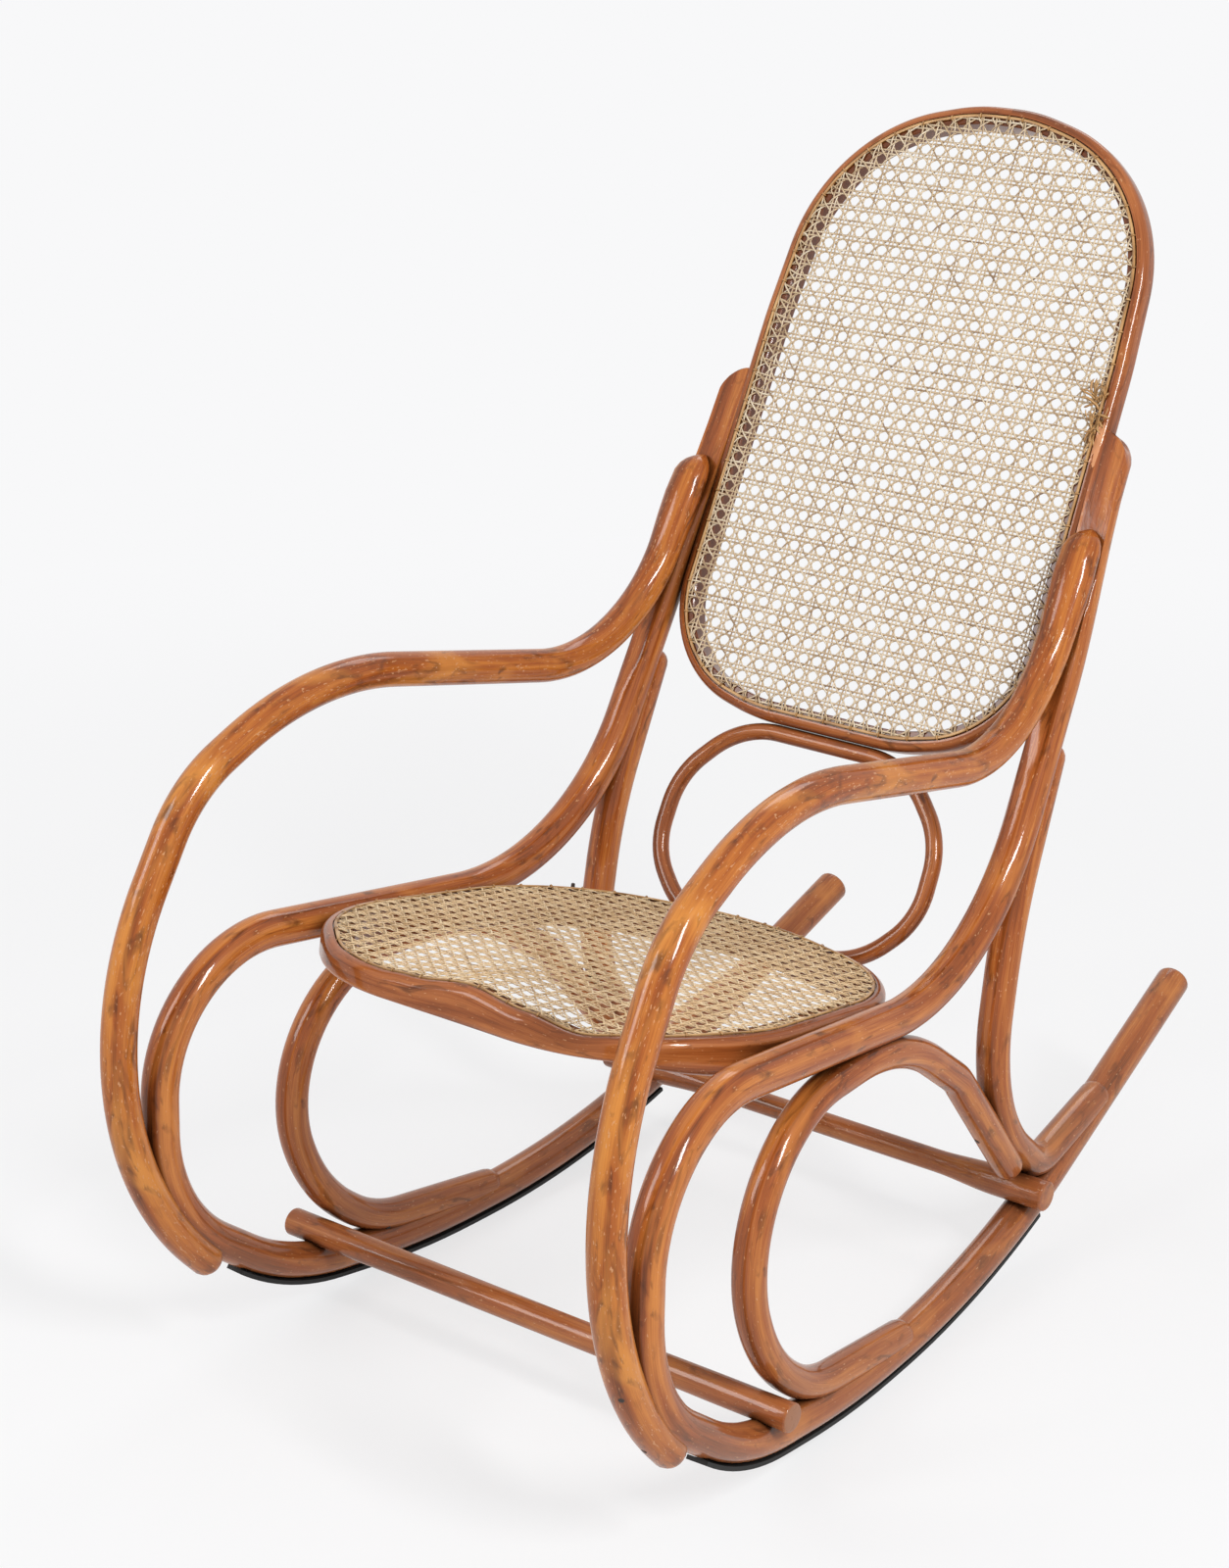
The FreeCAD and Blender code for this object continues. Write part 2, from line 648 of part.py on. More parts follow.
# back
face = "Sizes.back_depth / 2"
backBlock = extrude("back_block", backOutline, backPlace, face, face)
backHole = extrude("back_hole", offset("back_hole_outline", backOutline, "-Sizes.back_wall"), backPlace,
                   "Sizes.back_depth", "Sizes.back_depth")
backRebate = extrude("back_rebate", offset("back_cane_edge", backOutline, "-Sizes.cane_margin"), backPlace,
                     "Sizes.back_depth", "-(%s - Sizes.cane_rebate)" % face)
finish(cut("back_frame", backBlock, [backHole, backRebate]), "back_frame")
netEdge = offset("back_net_edge", backOutline, "-Sizes.cane_margin - Sizes.clearance")
doc.recompute()
floor = "%s - Sizes.cane_rebate" % face
finish(extrude("back_cane", netFace("back_net_face", netEdge, backPlace, size("back_wall")), backPlace,
               floor + " + Sizes.cane_thickness", "-(%s)" % floor), "back_cane")
top = floor + " + Sizes.cane_thickness"
bindingOuter = extrude("back_binding_outer", offset("back_binding_edge", backOutline, bindingEdge), backPlace,
                       top + " + Sizes.binding_height", "-(%s)" % top)
inside = offset("back_binding_inside", backOutline, bindingEdge + " - Sizes.binding_width")
bindingInner = extrude("back_binding_inner", inside, backPlace, "Sizes.back_depth", "Sizes.back_depth")
finish(cut("back_cane_binding", bindingOuter, [bindingInner]), "back_cane_binding")
doc.recompute()

# the chair is turned to where it balances on its runners, and stands in the middle of its own box
tilt = Placement(Vector(0, 0, 0), Rotation(Vector(1, 0, 0), size("balance_tilt")))
for piece in finished:
    piece.Placement = tilt.multiply(piece.Placement)
doc.recompute()
whole = Part.makeCompound([piece.Shape for piece in finished]).BoundBox
shift = Placement(Vector(0, -(whole.YMin + whole.YMax) / 2, -whole.ZMin), Rotation())
for piece in finished:
    piece.Placement = shift.multiply(piece.Placement)
doc.recompute()
print("moved by", shift.Base, "box", whole.XLength, whole.YLength, whole.ZLength)

for item in doc.Objects:
    if "Invalid" in item.State or "Error" in item.State:
        raise RuntimeError("%s failed: %s" % (item.Label, item.State))
os.makedirs("parts", exist_ok=True)
for piece in finished:
    shape = piece.Shape
    if shape.isNull() or not shape.isValid() or not shape.Solids:
        raise RuntimeError(piece.Label + " has no valid solid")
    shape.exportStep("parts/%s.step" % piece.Label)
    print(piece.Label, len(shape.Solids), round(shape.Volume))
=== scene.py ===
import bpy
import bmesh
import math
import random
from mathutils import Matrix, Vector


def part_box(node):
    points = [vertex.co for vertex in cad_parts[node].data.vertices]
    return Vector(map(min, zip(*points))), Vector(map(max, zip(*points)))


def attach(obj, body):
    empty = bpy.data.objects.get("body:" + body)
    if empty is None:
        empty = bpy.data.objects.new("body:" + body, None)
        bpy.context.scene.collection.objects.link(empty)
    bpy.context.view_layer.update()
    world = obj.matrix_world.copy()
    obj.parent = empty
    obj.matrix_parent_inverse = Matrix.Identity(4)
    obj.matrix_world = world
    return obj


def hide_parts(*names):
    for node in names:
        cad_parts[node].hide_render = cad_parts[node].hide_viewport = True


# bentwood rocking chair with a cane seat and back; lengths in the dictionaries are millimetres,
# and points on a bent rod are (towards the back, up, radius of the bend there)

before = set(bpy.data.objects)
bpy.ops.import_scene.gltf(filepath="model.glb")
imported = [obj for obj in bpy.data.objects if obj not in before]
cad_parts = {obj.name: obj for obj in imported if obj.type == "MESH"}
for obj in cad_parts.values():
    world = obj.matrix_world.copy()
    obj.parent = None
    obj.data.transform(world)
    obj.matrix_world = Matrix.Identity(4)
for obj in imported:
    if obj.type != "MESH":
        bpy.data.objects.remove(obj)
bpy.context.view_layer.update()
print("frame loaded")

chair = {
    "tilt": 2.42,  # degrees, to where it balances on the runners
    "shift": (0.0, -1.98678, 1.35863),
    "halfGap": 234.2,
    "toeIn": 3.27,  # degrees
    "armInset": 3.5,
    "seatAt": (-135.0, 378.7),  # towards the back, up
    "seatSlope": 14.6,  # degrees
    "backAt": (327.0, 686.8),
    "backLean": 30.7,  # degrees
}

rods = {
    "rail": {
        "across": 33.0,
        "points": [(377.5, 763, 0), (94.5, 317, 228), (-426.5, 425.5, 122), (-447, 180, 160), (-308, 61.5, 250),
                   (-142, 26.5, 880), (71.5, 15.2, 880), (230.5, 51.5, 490), (516, 145, 0)],
    },
    "arm": {
        "across": 31.5,
        "points": [(288.2, 674, 0), (179, 501.5, 168), (-226.5, 618.5, 305), (-381, 561, 140),
                   (-584.5, 261.5, 300), (-364.5, 81.5, 0)],
        "shorter": 40.0,  # cut off the lower end
        "tip": 13.0,
        "sizes": [(0, 37, 29), (45, 38, 30), (95, 33, 31), (140, 31.5, 31.5)],  # (distance, across, depth)
    },
    "scroll": {
        "across": 29.5,
        "tip": 14.0,
        "points": [(-30.5, 26.5, 0), (-196.5, 61, 140), (-269, 124.5, 176), (-330.5, 346, 124),
                   (-45, 326.5, 236), (59, 240, 75), (168, 94, 0)],
    },
    "leg": {
        "across": 31.0,
        "tip": 13.0,
        "points": [(229.5, 501.5, 0), (152.5, 355.5, 440), (110.5, 180.5, 168), (216, 77, 43), (352, 94, 0)],
    },
}

outlines = {
    "seat": [(39.5, 236, 180), (212, 175, 172), (233.5, -123.5, 165), (123.5, -232, 143)],
    "back": [(31.5, 359.7, 183.7), (184.9, 319, 165.3), (197.2, 132.6, 422.8), (202.3, -224.1, 113.4),
             (80.2, -253.5, 188.9)],
    "ring": [(91.5, 0, 90), (146, -60.5, 80), (147.5, -134.5, 72), (96.5, -190.5, 87)],
}


def toLinear(hexColour):
    values = [int(hexColour[i:i + 2], 16) / 255 for i in (0, 2, 4)]
    return [v / 12.92 if v <= 0.04045 else ((v + 0.055) / 1.055) ** 2.4 for v in values] + [1.0]


def addNode(tree, kind, settings=None, links=None):
    node = tree.nodes.new(kind)
    for name, value in (settings or {}).items():
        if isinstance(name, int) or name in node.inputs:
            node.inputs[name].default_value = value
        else:
            setattr(node, name, value)
    for name, source in (links or {}).items():
        tree.links.new(source, node.inputs[name])
    return node


def newMaterial(name):
    material = bpy.data.materials.new(name)
    material.use_nodes = True
    material.node_tree.nodes.clear()
    return material, material.node_tree


def finishMaterial(tree, shader):
    addNode(tree, "ShaderNodeOutputMaterial", links={"Surface": shader})


def chairPlace():
    # from the drawing to the finished place, in metres
    turn = Matrix.Rotation(math.radians(chair["tilt"]), 4, "X")
    return Matrix.Scale(0.001, 4) @ Matrix.Translation(chair["shift"]) @ turn


def sidePlace(side, inset=0.0):
    # rod drawings: first number towards the back, second up, third along X
    swap = Matrix(((0, 0, 1, 0), (1, 0, 0, 0), (0, 1, 0, 0), (0, 0, 0, 1)))
    turn = Matrix.Rotation(math.radians(side * chair["toeIn"]), 4, "Z")
    return chairPlace() @ Matrix.Translation((side * (chair["halfGap"] - inset), 0, 0)) @ turn @ swap


def slopedPlace(at, degrees):
    return chairPlace() @ Matrix.Translation((0, at[0], at[1])) @ Matrix.Rotation(math.radians(degrees), 4, "X")


seatPlace = slopedPlace(chair["seatAt"], -chair["seatSlope"])
backPlace = slopedPlace(chair["backAt"], 90 - chair["backLean"])


def centreLine(points, closed=False, step=7.0):
    # spots along straight runs and bends: (place, direction, distance from the start)
    count = len(points)
    corners = [Vector(point[:2]) for point in points]
    runs = []
    for i in range(count):
        if not points[i][2]:
            runs.append((corners[i], corners[i], None, 0, 0))
            continue
        back = (corners[i - 1] - corners[i]).normalized()
        ahead = (corners[(i + 1) % count] - corners[i]).normalized()
        halfTurn = (math.pi - back.angle(ahead)) / 2
        run = points[i][2] * math.tan(halfTurn)
        centre = corners[i] + (back + ahead).normalized() * math.hypot(points[i][2], run)
        turn = 2 * halfTurn * (1 if back.cross(ahead) < 0 else -1)
        runs.append((corners[i] + back * run, corners[i] + ahead * run, centre, turn, points[i][2]))
    spots = []
    distance = 0.0
    for i in range(count):
        start, end, centre, turn, radius = runs[i]
        if spots or closed:
            before = runs[i - 1][1]
            gap = start - before
            if gap.length > 0.01:
                pieces = max(1, round(gap.length / (step * 2.5)))
                first = 0 if not spots else 1
                for k in range(first, pieces + 1):
                    spots.append((before + gap * k / pieces, gap.normalized(), distance + gap.length * k / pieces))
                distance += gap.length
        else:
            spots.append((start, (runs[1][0] - start).normalized(), 0.0))
        if centre is None:
            continue
        spoke = start - centre
        pieces = max(3, round(abs(turn) * radius / step))
        for k in range(1, pieces + 1):
            angle = turn * k / pieces
            arm = Matrix.Rotation(angle, 2) @ spoke
            side = Vector((-arm.y, arm.x)).normalized() * (1 if turn > 0 else -1)
            spots.append((centre + arm, side, distance + abs(angle) * radius))
        distance += abs(turn) * radius
    return spots


def blendAt(stops, distance):
    # values between stops (distance, value, value...), eased
    if distance <= stops[0][0]:
        return stops[0][1:]
    for low, high in zip(stops, stops[1:]):
        if distance <= high[0]:
            t = (distance - low[0]) / (high[0] - low[0])
            t = t * t * (3 - 2 * t)
            return [a + (b - a) * t for a, b in zip(low[1:], high[1:])]
    return stops[-1][1:]


def roundProfile(sides=24):
    return [(math.cos(2 * math.pi * i / sides), math.sin(2 * math.pi * i / sides)) for i in range(sides)]


def sweep(name, line, profile, place, closed=False, sizeAt=None, move=None, form=None):
    # a grid rolled into a tube round the line; "grain" keeps each point's place in the straight stick;
    # form changes (depth, across, distance) before a point is placed, move changes the point afterwards
    rows = len(line)
    columns = len(profile)
    mesh = bmesh.new()
    bmesh.ops.create_grid(mesh, x_segments=columns, y_segments=rows - 1, size=1)
    grain = mesh.loops.layers.float_vector.new("grain")
    spots = {}
    for vert in mesh.verts:
        column = round((vert.co.x + 1) / 2 * columns)
        row = round((vert.co.y + 1) / 2 * (rows - 1))
        point, direction, distance = line[row]
        across, depth = sizeAt(distance) if sizeAt else (1.0, 1.0)
        a, b = profile[column % columns]
        a *= depth
        b *= across
        stick = Vector((a, b, distance)) * 0.001
        if form:
            a, b, slid = form(a, b, distance)
            point = point + direction * (slid - distance)
        flat = point + Vector((-direction.y, direction.x)) * a
        spots[vert] = (Vector((flat.x, flat.y, b)), stick)
    for face in mesh.faces:
        for loop in face.loops:
            loop[grain] = spots[loop.vert][1]
    for vert, (co, stick) in spots.items():
        vert.co = place @ (move(co) if move else co)
    bmesh.ops.remove_doubles(mesh, verts=mesh.verts, dist=0.00001)
    if not closed:
        rims = [edge for edge in mesh.edges if edge.is_boundary]
        for face in bmesh.ops.holes_fill(mesh, edges=rims, sides=0)["faces"]:
            for loop in face.loops:
                other = [near for near in loop.vert.link_loops if near.face != face][0]
                loop[grain] = other[grain]
    bmesh.ops.recalc_face_normals(mesh, faces=mesh.faces)
    smoothAll(mesh)
    return meshPiece(name, mesh)


def smoothAll(mesh, creaseFrom=0.7):
    # smooth faces, with a crease where two meet at more than this angle
    for face in mesh.faces:
        face.smooth = True
    for edge in mesh.edges:
        edge.smooth = len(edge.link_faces) == 2 and edge.calc_face_angle() < creaseFrom


def meshPiece(name, mesh):
    data = bpy.data.meshes.new(name)
    mesh.to_mesh(data)
    mesh.free()
    piece = bpy.data.objects.new(name, data)
    bpy.context.scene.collection.objects.link(piece)
    return piece


def dress(piece, material, replaced=()):
    piece.data.materials.clear()
    piece.data.materials.append(material)
    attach(piece, "root")
    if replaced:
        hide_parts(*replaced)


# steamed beech, bent and stained, under an old amber varnish: fine lengthwise streaks, long dark
# bands, dark grime, patches where the stain has worn thin and small knocks, with sharp clear highlights
beech = {
    "dark": "4E2C17",
    "middle": "A86532",
    "light": "DEA258",
    "streakShare": 0.3,
    "worn": "DCA054",  # where the stain has worn thin
    "wornFrom": 0.62,
    "grime": "40220F",  # dark patches where dirt and old varnish gathered
    "grimeFrom": 0.56,
    "nick": "DDBB92",  # small knocks down to the bare wood
    "nickFrom": 0.67,
    "dust": "A98A70",  # dull dust on the low parts
    "dustBelow": 0.3,  # metres above the floor
    "dustFull": 0.08,
    "dustMost": 0.5,
    "layers": {  # (where it starts and ends from its threshold, how much at most)
        "worn": (-0.08, 0.08, 0.7),
        "grime": (0.0, 0.16, 0.66),
        "nick": (0.0, 0.03, 0.75),
    },
    "creviceShade": "1E0F07",  # painted shade where two rods meet and close the wood in
    "creviceShadeReach": 0.022,  # metres
    "creviceShadeFrom": 0.78,  # the share of open view where the painted shade starts, and where it is full
    "creviceShadeFull": 0.2,
    "creviceShadeMost": 0.9,
    "ragged": 0.0,  # metres that a bare place's edge wanders
    "under": "6A4024",  # painted shade on the hoop's face under the weave
    "underShadeFrom": 0.0093,  # metres inwards from a hoop's outer edge
    "underShadeEdge": 0.0008,
    "underShadeMost": 0.85,
    "roughness": (0.24, 0.4),
    "dentHeight": 0.0007,
    "streakHeight": 0.0004,
    "coat": {"Coat Weight": 0.6, "Coat Roughness": 0.09},
    "tint": "D8A070",  # amber varnish, deeper where it is seen aslant
    "patterns": {  # (mm across the grain, mm along it, detail, distortion)
        "streak": (0.9, 42.0, 3.0, 0.0),
        "band": (11.0, 210.0, 2.0, 0.5),
        "worn": (55.0, 130.0, 3.0, 0.8),
        "grime": (15.0, 48.0, 6.0, 1.6),
        "nick": (1.8, 5.5, 2.5, 0.0),
        "dust": (26.0, 60.0, 3.0, 0.0),
        "dent": (9.0, 22.5, 2.0, 0.0),
        "ragged": (3.0, 14.0, 2.0, 0.0),
    },
}


def beechMaterial(name, look, hoop=False):
    material, tree = newMaterial(name)
    stick = addNode(tree, "ShaderNodeAttribute", {"attribute_name": "grain"}).outputs["Vector"]
    parts = addNode(tree, "ShaderNodeSeparateXYZ", links={"Vector": stick}).outputs

    def pattern(key):
        across, along, detail, distortion = look["patterns"][key]
        scaled = addNode(tree, "ShaderNodeMapping", {"Scale": (1000 / across, 1000 / across, 1000 / along)},
                         {"Vector": stick})
        return addNode(tree, "ShaderNodeTexNoise", {"Scale": 1.0, "Detail": detail, "Distortion": distortion},
                       {"Vector": scaled.outputs[0]}).outputs["Fac"]

    def ranged(value, start, end, low, high):
        return addNode(tree, "ShaderNodeMapRange", {"From Min": start, "From Max": end, "To Min": low,
                                                    "To Max": high}, {"Value": value}).outputs["Result"]

    def maths(operation, numbers, links):
        return addNode(tree, "ShaderNodeMath", dict(numbers, operation=operation), links).outputs[0]

    def laidOver(below, share, hexColour):
        mix = addNode(tree, "ShaderNodeMix", {"data_type": "RGBA"}, {"Factor": share})
        tree.links.new(below, mix.inputs[6])
        mix.inputs[7].default_value = toLinear(hexColour)
        return mix.outputs[2]

    streaks, bands = pattern("streak"), pattern("band")
    both = addNode(tree, "ShaderNodeMix", {"Factor": look["streakShare"]}, {"A": bands, "B": streaks})
    ramp = addNode(tree, "ShaderNodeValToRGB", links={"Fac": both.outputs["Result"]})
    stops = ramp.color_ramp.elements
    stops[0].position, stops[0].color = 0.26, toLinear(look["dark"])
    stops[1].position, stops[1].color = 0.7, toLinear(look["light"])
    middle = stops.new(0.48)
    middle.color = toLinear(look["middle"])
    colour = ramp.outputs["Color"]
    for key, (before, after, most) in look["layers"].items():
        start = look[key + "From"]
        colour = laidOver(colour, ranged(pattern(key), start + before, start + after, 0.0, most), look[key])
    place = addNode(tree, "ShaderNodeTexCoord").outputs["Object"]
    height = addNode(tree, "ShaderNodeSeparateXYZ", links={"Vector": place}).outputs["Z"]
    low = ranged(height, look["dustBelow"], look["dustFull"], 0.0, look["dustMost"])
    colour = laidOver(colour, maths("MULTIPLY", {}, {0: low, 1: pattern("dust")}), look["dust"])
    # painted shade: an ambient occlusion node darkens the wood where rods meet and close it in
    openness = addNode(tree, "ShaderNodeAmbientOcclusion", {"samples": 6, "Distance": look["creviceShadeReach"]})
    closed = ranged(openness.outputs["AO"], look["creviceShadeFull"], look["creviceShadeFrom"], look["creviceShadeMost"], 0.0)
    colour = laidOver(colour, closed, look["creviceShade"])
    if "bare" in look:
        # a cut or torn place that shows the bare wood: (colour, from, to, how far inwards it starts)
        bare, start, end, deep = look["bare"]
        away = maths("ABSOLUTE", {}, {0: maths("SUBTRACT", {1: (start + end) / 2}, {0: parts["Z"]})})
        ragged = maths("MULTIPLY_ADD", {1: look["ragged"]}, {0: pattern("ragged"), 2: away})
        near = maths("LESS_THAN", {1: (end - start) / 2 + look["ragged"] / 2}, {0: ragged})
        inside = maths("GREATER_THAN", {1: deep}, {0: parts["X"]})
        colour = laidOver(colour, maths("MULTIPLY", {}, {0: near, 1: inside}), bare)
    if hoop:
        # painted shade: the hoop's face is darkened inwards from where the weave lies over it
        underShadeShare = ranged(parts["X"], look["underShadeFrom"], look["underShadeFrom"] + look["underShadeEdge"], 0.0, look["underShadeMost"])
        colour = laidOver(colour, underShadeShare, look["under"])
    dents = addNode(tree, "ShaderNodeBump", {"Strength": 0.2, "Distance": look["dentHeight"]},
                    {"Height": pattern("dent")}).outputs["Normal"]
    fine = addNode(tree, "ShaderNodeBump", {"Strength": 0.12, "Distance": look["streakHeight"]},
                   {"Height": streaks, "Normal": dents}).outputs["Normal"]
    # the varnish gives the shine, so the wood under it has hardly any of its own
    shader = addNode(tree, "ShaderNodeBsdfPrincipled",
                     {**look["coat"], "IOR": 1.5, "Specular IOR Level": 0.1, "Coat Tint": toLinear(look["tint"])},
                     {"Base Color": colour, "Roughness": ranged(bands, 0.3, 0.7, *look["roughness"]),
                      "Normal": fine, "Coat Normal": dents})
    finishMaterial(tree, shader.outputs[0])
    return material


railBeech = beechMaterial("bent varnished beech", beech)
armBeech = beechMaterial("bent beech worn amber", dict(beech, dark="4E2A13", middle="AC6629", light="DC9C48",
                                                       worn="ECB45A", wornFrom=0.56, grimeFrom=0.54,
                                                       nickFrom=0.64))
redBeech = dict(beech, dark="4E2A15", middle="9E6234", light="CE925A", wornFrom=0.72)
hoopBeech = beechMaterial("bent beech red brown", redBeech, hoop=True)
ringBeech = beechMaterial("bent beech ring", redBeech)

# split rattan cane, aged: pale beige skin with golden and grey-brown stretches, satin
rattan = {"light": "E8DBC4", "middle": "C8AE8A", "dark": "87684A", "roughness": 0.42, "stretch": 35.0}


def rattanMaterial(name, look):
    material, tree = newMaterial(name)
    strand = addNode(tree, "ShaderNodeAttribute", {"attribute_name": "grain"}).outputs["Vector"]
    scaled = addNode(tree, "ShaderNodeMapping", {"Scale": (300, 300, 1000 / look["stretch"])}, {"Vector": strand})
    stretches = addNode(tree, "ShaderNodeTexNoise", {"Scale": 1.0, "Detail": 3.0}, {"Vector": scaled.outputs[0]})
    ramp = addNode(tree, "ShaderNodeValToRGB", links={"Fac": stretches.outputs["Fac"]})
    stops = ramp.color_ramp.elements
    stops[0].position, stops[0].color = 0.28, toLinear(look["dark"])
    stops[1].position, stops[1].color = 0.7, toLinear(look["light"])
    middle = stops.new(0.45)
    middle.color = toLinear(look["middle"])
    shader = addNode(tree, "ShaderNodeBsdfPrincipled", {"IOR": 1.5, "Roughness": look["roughness"]},
                     {"Base Color": ramp.outputs["Color"]})
    finishMaterial(tree, shader.outputs[0])
    return material


caneMaterial = rattanMaterial("woven rattan cane", rattan)
seatCaneMaterial = rattanMaterial("woven rattan cane tanned", dict(rattan, light="F2DCB6", middle="D9B88A",
                                                                   dark="9A764A"))
binderMaterial = rattanMaterial("rattan binder", dict(rattan, light="C9A06A", middle="A97C48", dark="6E4E2C",
                                                      roughness=0.35))


def rubberMaterial():
    # black moulded rubber: matt, near black
    material, tree = newMaterial("black runner rubber")
    shader = addNode(tree, "ShaderNodeBsdfPrincipled",
                     {"Base Color": toLinear("0D0C0B"), "Roughness": 0.7, "IOR": 1.5})
    finishMaterial(tree, shader.outputs[0])
    return material


stripMaterial = rubberMaterial()
print("materials made")

stickEnd = {"tip": 5.0, "stretcherTip": 2.0}  # how far from its end a stick starts to round off


def endSize(length, radius, tip, distance):
    # rounds the first and last millimetres of a stick
    near = min(distance, length - distance)
    if near >= tip:
        return 1.0
    return 1 - (tip / radius) * (1 - math.sqrt(max(0.0, 1 - (1 - near / tip) ** 2)))


def withTips(line, tip):
    # extra spots close to both ends, so that the tips round off
    first, last = line[0], line[-1]
    length = last[2]
    extra = [0.0, 0.04, 0.15, 0.35, 0.65, 1.0]
    head = [(first[0] + first[1] * tip * t, first[1], tip * t) for t in extra]
    tail = [(last[0] - last[1] * tip * t, last[1], length - tip * t) for t in reversed(extra)]
    return head + [spot for spot in line if tip * 1.5 < spot[2] < length - tip * 1.5] + tail


stile = {
    "flat": 12.6,  # the planed front lies this far ahead of the centre line
    "flatLength": 347.0,  # down from the top
    "flatFade": 25.0,
    "shoulder": 56.0,  # the top starts to fall this far down from the drawn end
    "round": 34.0,
    "fall": 40.0,  # how far it falls towards the outer edge
    "forward": 6.0,  # how far the top end leans forward and inwards
    "inward": 6.0,
    "leanFrom": 250.0,
    "leanTo": 60.0,
    "drawnTo": 88.0,  # the stretch that the rounded top is made of
}


def stileForm(side):
    # plane the front flat and let the top fall in a curve from its inner to its outer edge
    def form(a, b, distance):
        across = b
        lean = min(1.0, max(0.0, (stile["leanFrom"] - distance) / (stile["leanFrom"] - stile["leanTo"])))
        lean = lean * lean * (3 - 2 * lean)
        a -= stile["forward"] * lean
        b -= side * stile["inward"] * lean
        fade = min(1.0, max(0.0, (stile["flatLength"] - distance) / stile["flatFade"]))
        if a < -stile["flat"]:
            a += (-stile["flat"] - a) * fade
        if distance < stile["drawnTo"]:
            out = min(max(side * across + rods["rail"]["across"] / 2, 0.0), stile["round"]) / stile["round"]
            top = stile["shoulder"] - stile["fall"] * math.sqrt(1 - out ** 2)
            distance = top + (stile["drawnTo"] - top) * distance / stile["drawnTo"]
        return a, b, distance
    return form


armTop = {"round": 31.5, "roundAcross": 25.0, "longer": 14.0, "longerFrom": 70.0}


def armForm(side):
    # the arm's top is a spoon: it curves back to the upright and in from both sides
    def form(a, b, distance):
        rear = rods["arm"]["sizes"][0][2] / 2
        if distance < armTop["round"]:
            a = rear - (rear - a) * math.sqrt(1 - (1 - distance / armTop["round"]) ** 2)
        if distance < armTop["roundAcross"]:
            b *= math.sqrt(1 - (1 - distance / armTop["roundAcross"]) ** 2)
        distance -= armTop["longer"] * max(0.0, 1 - distance / armTop["longerFrom"])
        return a, b, distance
    return form


def addBentRod(name, rod, side, inset=0.0, makeForm=None):
    settings = rods[rod]
    tip = settings.get("tip", stickEnd["tip"])
    line = centreLine(settings["points"])
    line = [spot for spot in line if spot[2] <= line[-1][2] - settings.get("shorter", 0)]
    line = withTips(line, tip)
    length = line[-1][2]
    radius = settings["across"] / 2
    stops = settings.get("sizes", [(0, settings["across"], settings["across"])])

    def sizeAt(distance):
        across, depth = blendAt(stops, distance)
        end = endSize(length, radius, tip, distance)
        return across / 2 * end, depth / 2 * end

    form = makeForm(side) if makeForm else None
    return sweep(name, line, roundProfile(), sidePlace(side, inset), sizeAt=sizeAt, form=form)


for side, word in ((1, "right"), (-1, "left")):
    dress(addBentRod("railRod_" + word, "rail", side, 0, stileForm), railBeech,
          ["side_rail_" + word])
    dress(addBentRod("armRod_" + word, "arm", side, chair["armInset"], armForm), armBeech,
          ["arm_" + word])
    dress(addBentRod("scrollRod_" + word, "scroll", side), railBeech, ["scroll_" + word])
    dress(addBentRod("legRod_" + word, "leg", side), railBeech, ["rear_leg_" + word])
    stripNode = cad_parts["runner_strip_" + word]
    stripNode.data.materials.clear()
    stripNode.data.materials.append(stripMaterial)
print("side frames bent")


def wholeOutline(name):
    # both halves of an outline
    right = outlines[name]
    points = [(-x, y, r) for x, y, r in right] + list(reversed(right))
    return centreLine(points, closed=True, step=6.0)


def rimProfile(settings):
    # section of a frame: first number inwards from the outer edge, second along the normal;
    # the face steps down under the cane
    wall, low, high = settings["wall"], settings["low"], settings["high"]
    sunk = high - settings["rebate"]
    bevel, slope = 1.0, 0.4
    points = [(wall, sunk - bevel), (wall - bevel, sunk), (settings["margin"] + slope, sunk),
              (settings["margin"], high)]
    edge = settings["edge"]
    for centreZ, start in ((high - edge, 90), (low + edge, 180)):
        for k in range(7):
            angle = math.radians(start + 15 * k)
            points.append((edge + edge * math.cos(angle), centreZ + edge * math.sin(angle)))
    inner = settings["innerEdge"]
    for k in range(5):
        angle = math.radians(270 + 22.5 * k)
        points.append((wall - inner + inner * math.cos(angle), low + inner + inner * math.sin(angle)))
    return points


seatWave = {
    "top": [(-165, 0), (-130, -3), (-75, -3.5), (-40, -1), (22, 7), (80, 0), (128, -8.5), (160, -5), (215, 0)],
    "bottom": 7.5,  # how much shallower the hoop is in the middle of the front
    "bottomTo": (150, 215),
    "from": -80.0,  # towards the front from here the seat follows the front edge's wave
    "whole": -190.0,
    "base": -34.0,  # the hoop's underside, which doesn't follow the top's wave
    "blend": 30.0,
}


def seatMove(co):
    # the front edge is raised in the middle and dips under both thighs
    share = min(1.0, max(0.0, (co.z - seatWave["base"]) / seatWave["blend"]))
    near = min(1.0, max(0.0, (seatWave["from"] - co.y) / (seatWave["from"] - seatWave["whole"])))
    near = near * near * (3 - 2 * near)
    start, end = seatWave["bottomTo"]
    under = seatWave["bottom"] * min(1.0, max(0.0, (end - abs(co.x)) / (end - start)))
    co.z += near * (share * blendAt(seatWave["top"], co.x)[0] + (1 - share) * under)
    return co


panels = {
    "back": {"place": backPlace, "wall": 19.0, "low": -12.5, "high": 12.5, "edge": 8.0, "innerEdge": 3.0,
             "rebate": 1.4, "margin": 9.0, "pitch": (15.16, 14.64), "pairs": (-3.13, -5.57), "move": None,
             "seed": 3},
    "seat": {"place": seatPlace, "wall": 27.0, "low": -34.0, "high": 0.0, "edge": 8.5, "innerEdge": 4.0,
             "rebate": 1.4, "margin": 9.0, "pitch": (15.2, 14.7), "pairs": (0.0, -1.6), "move": seatMove,
             "seed": 5},
}

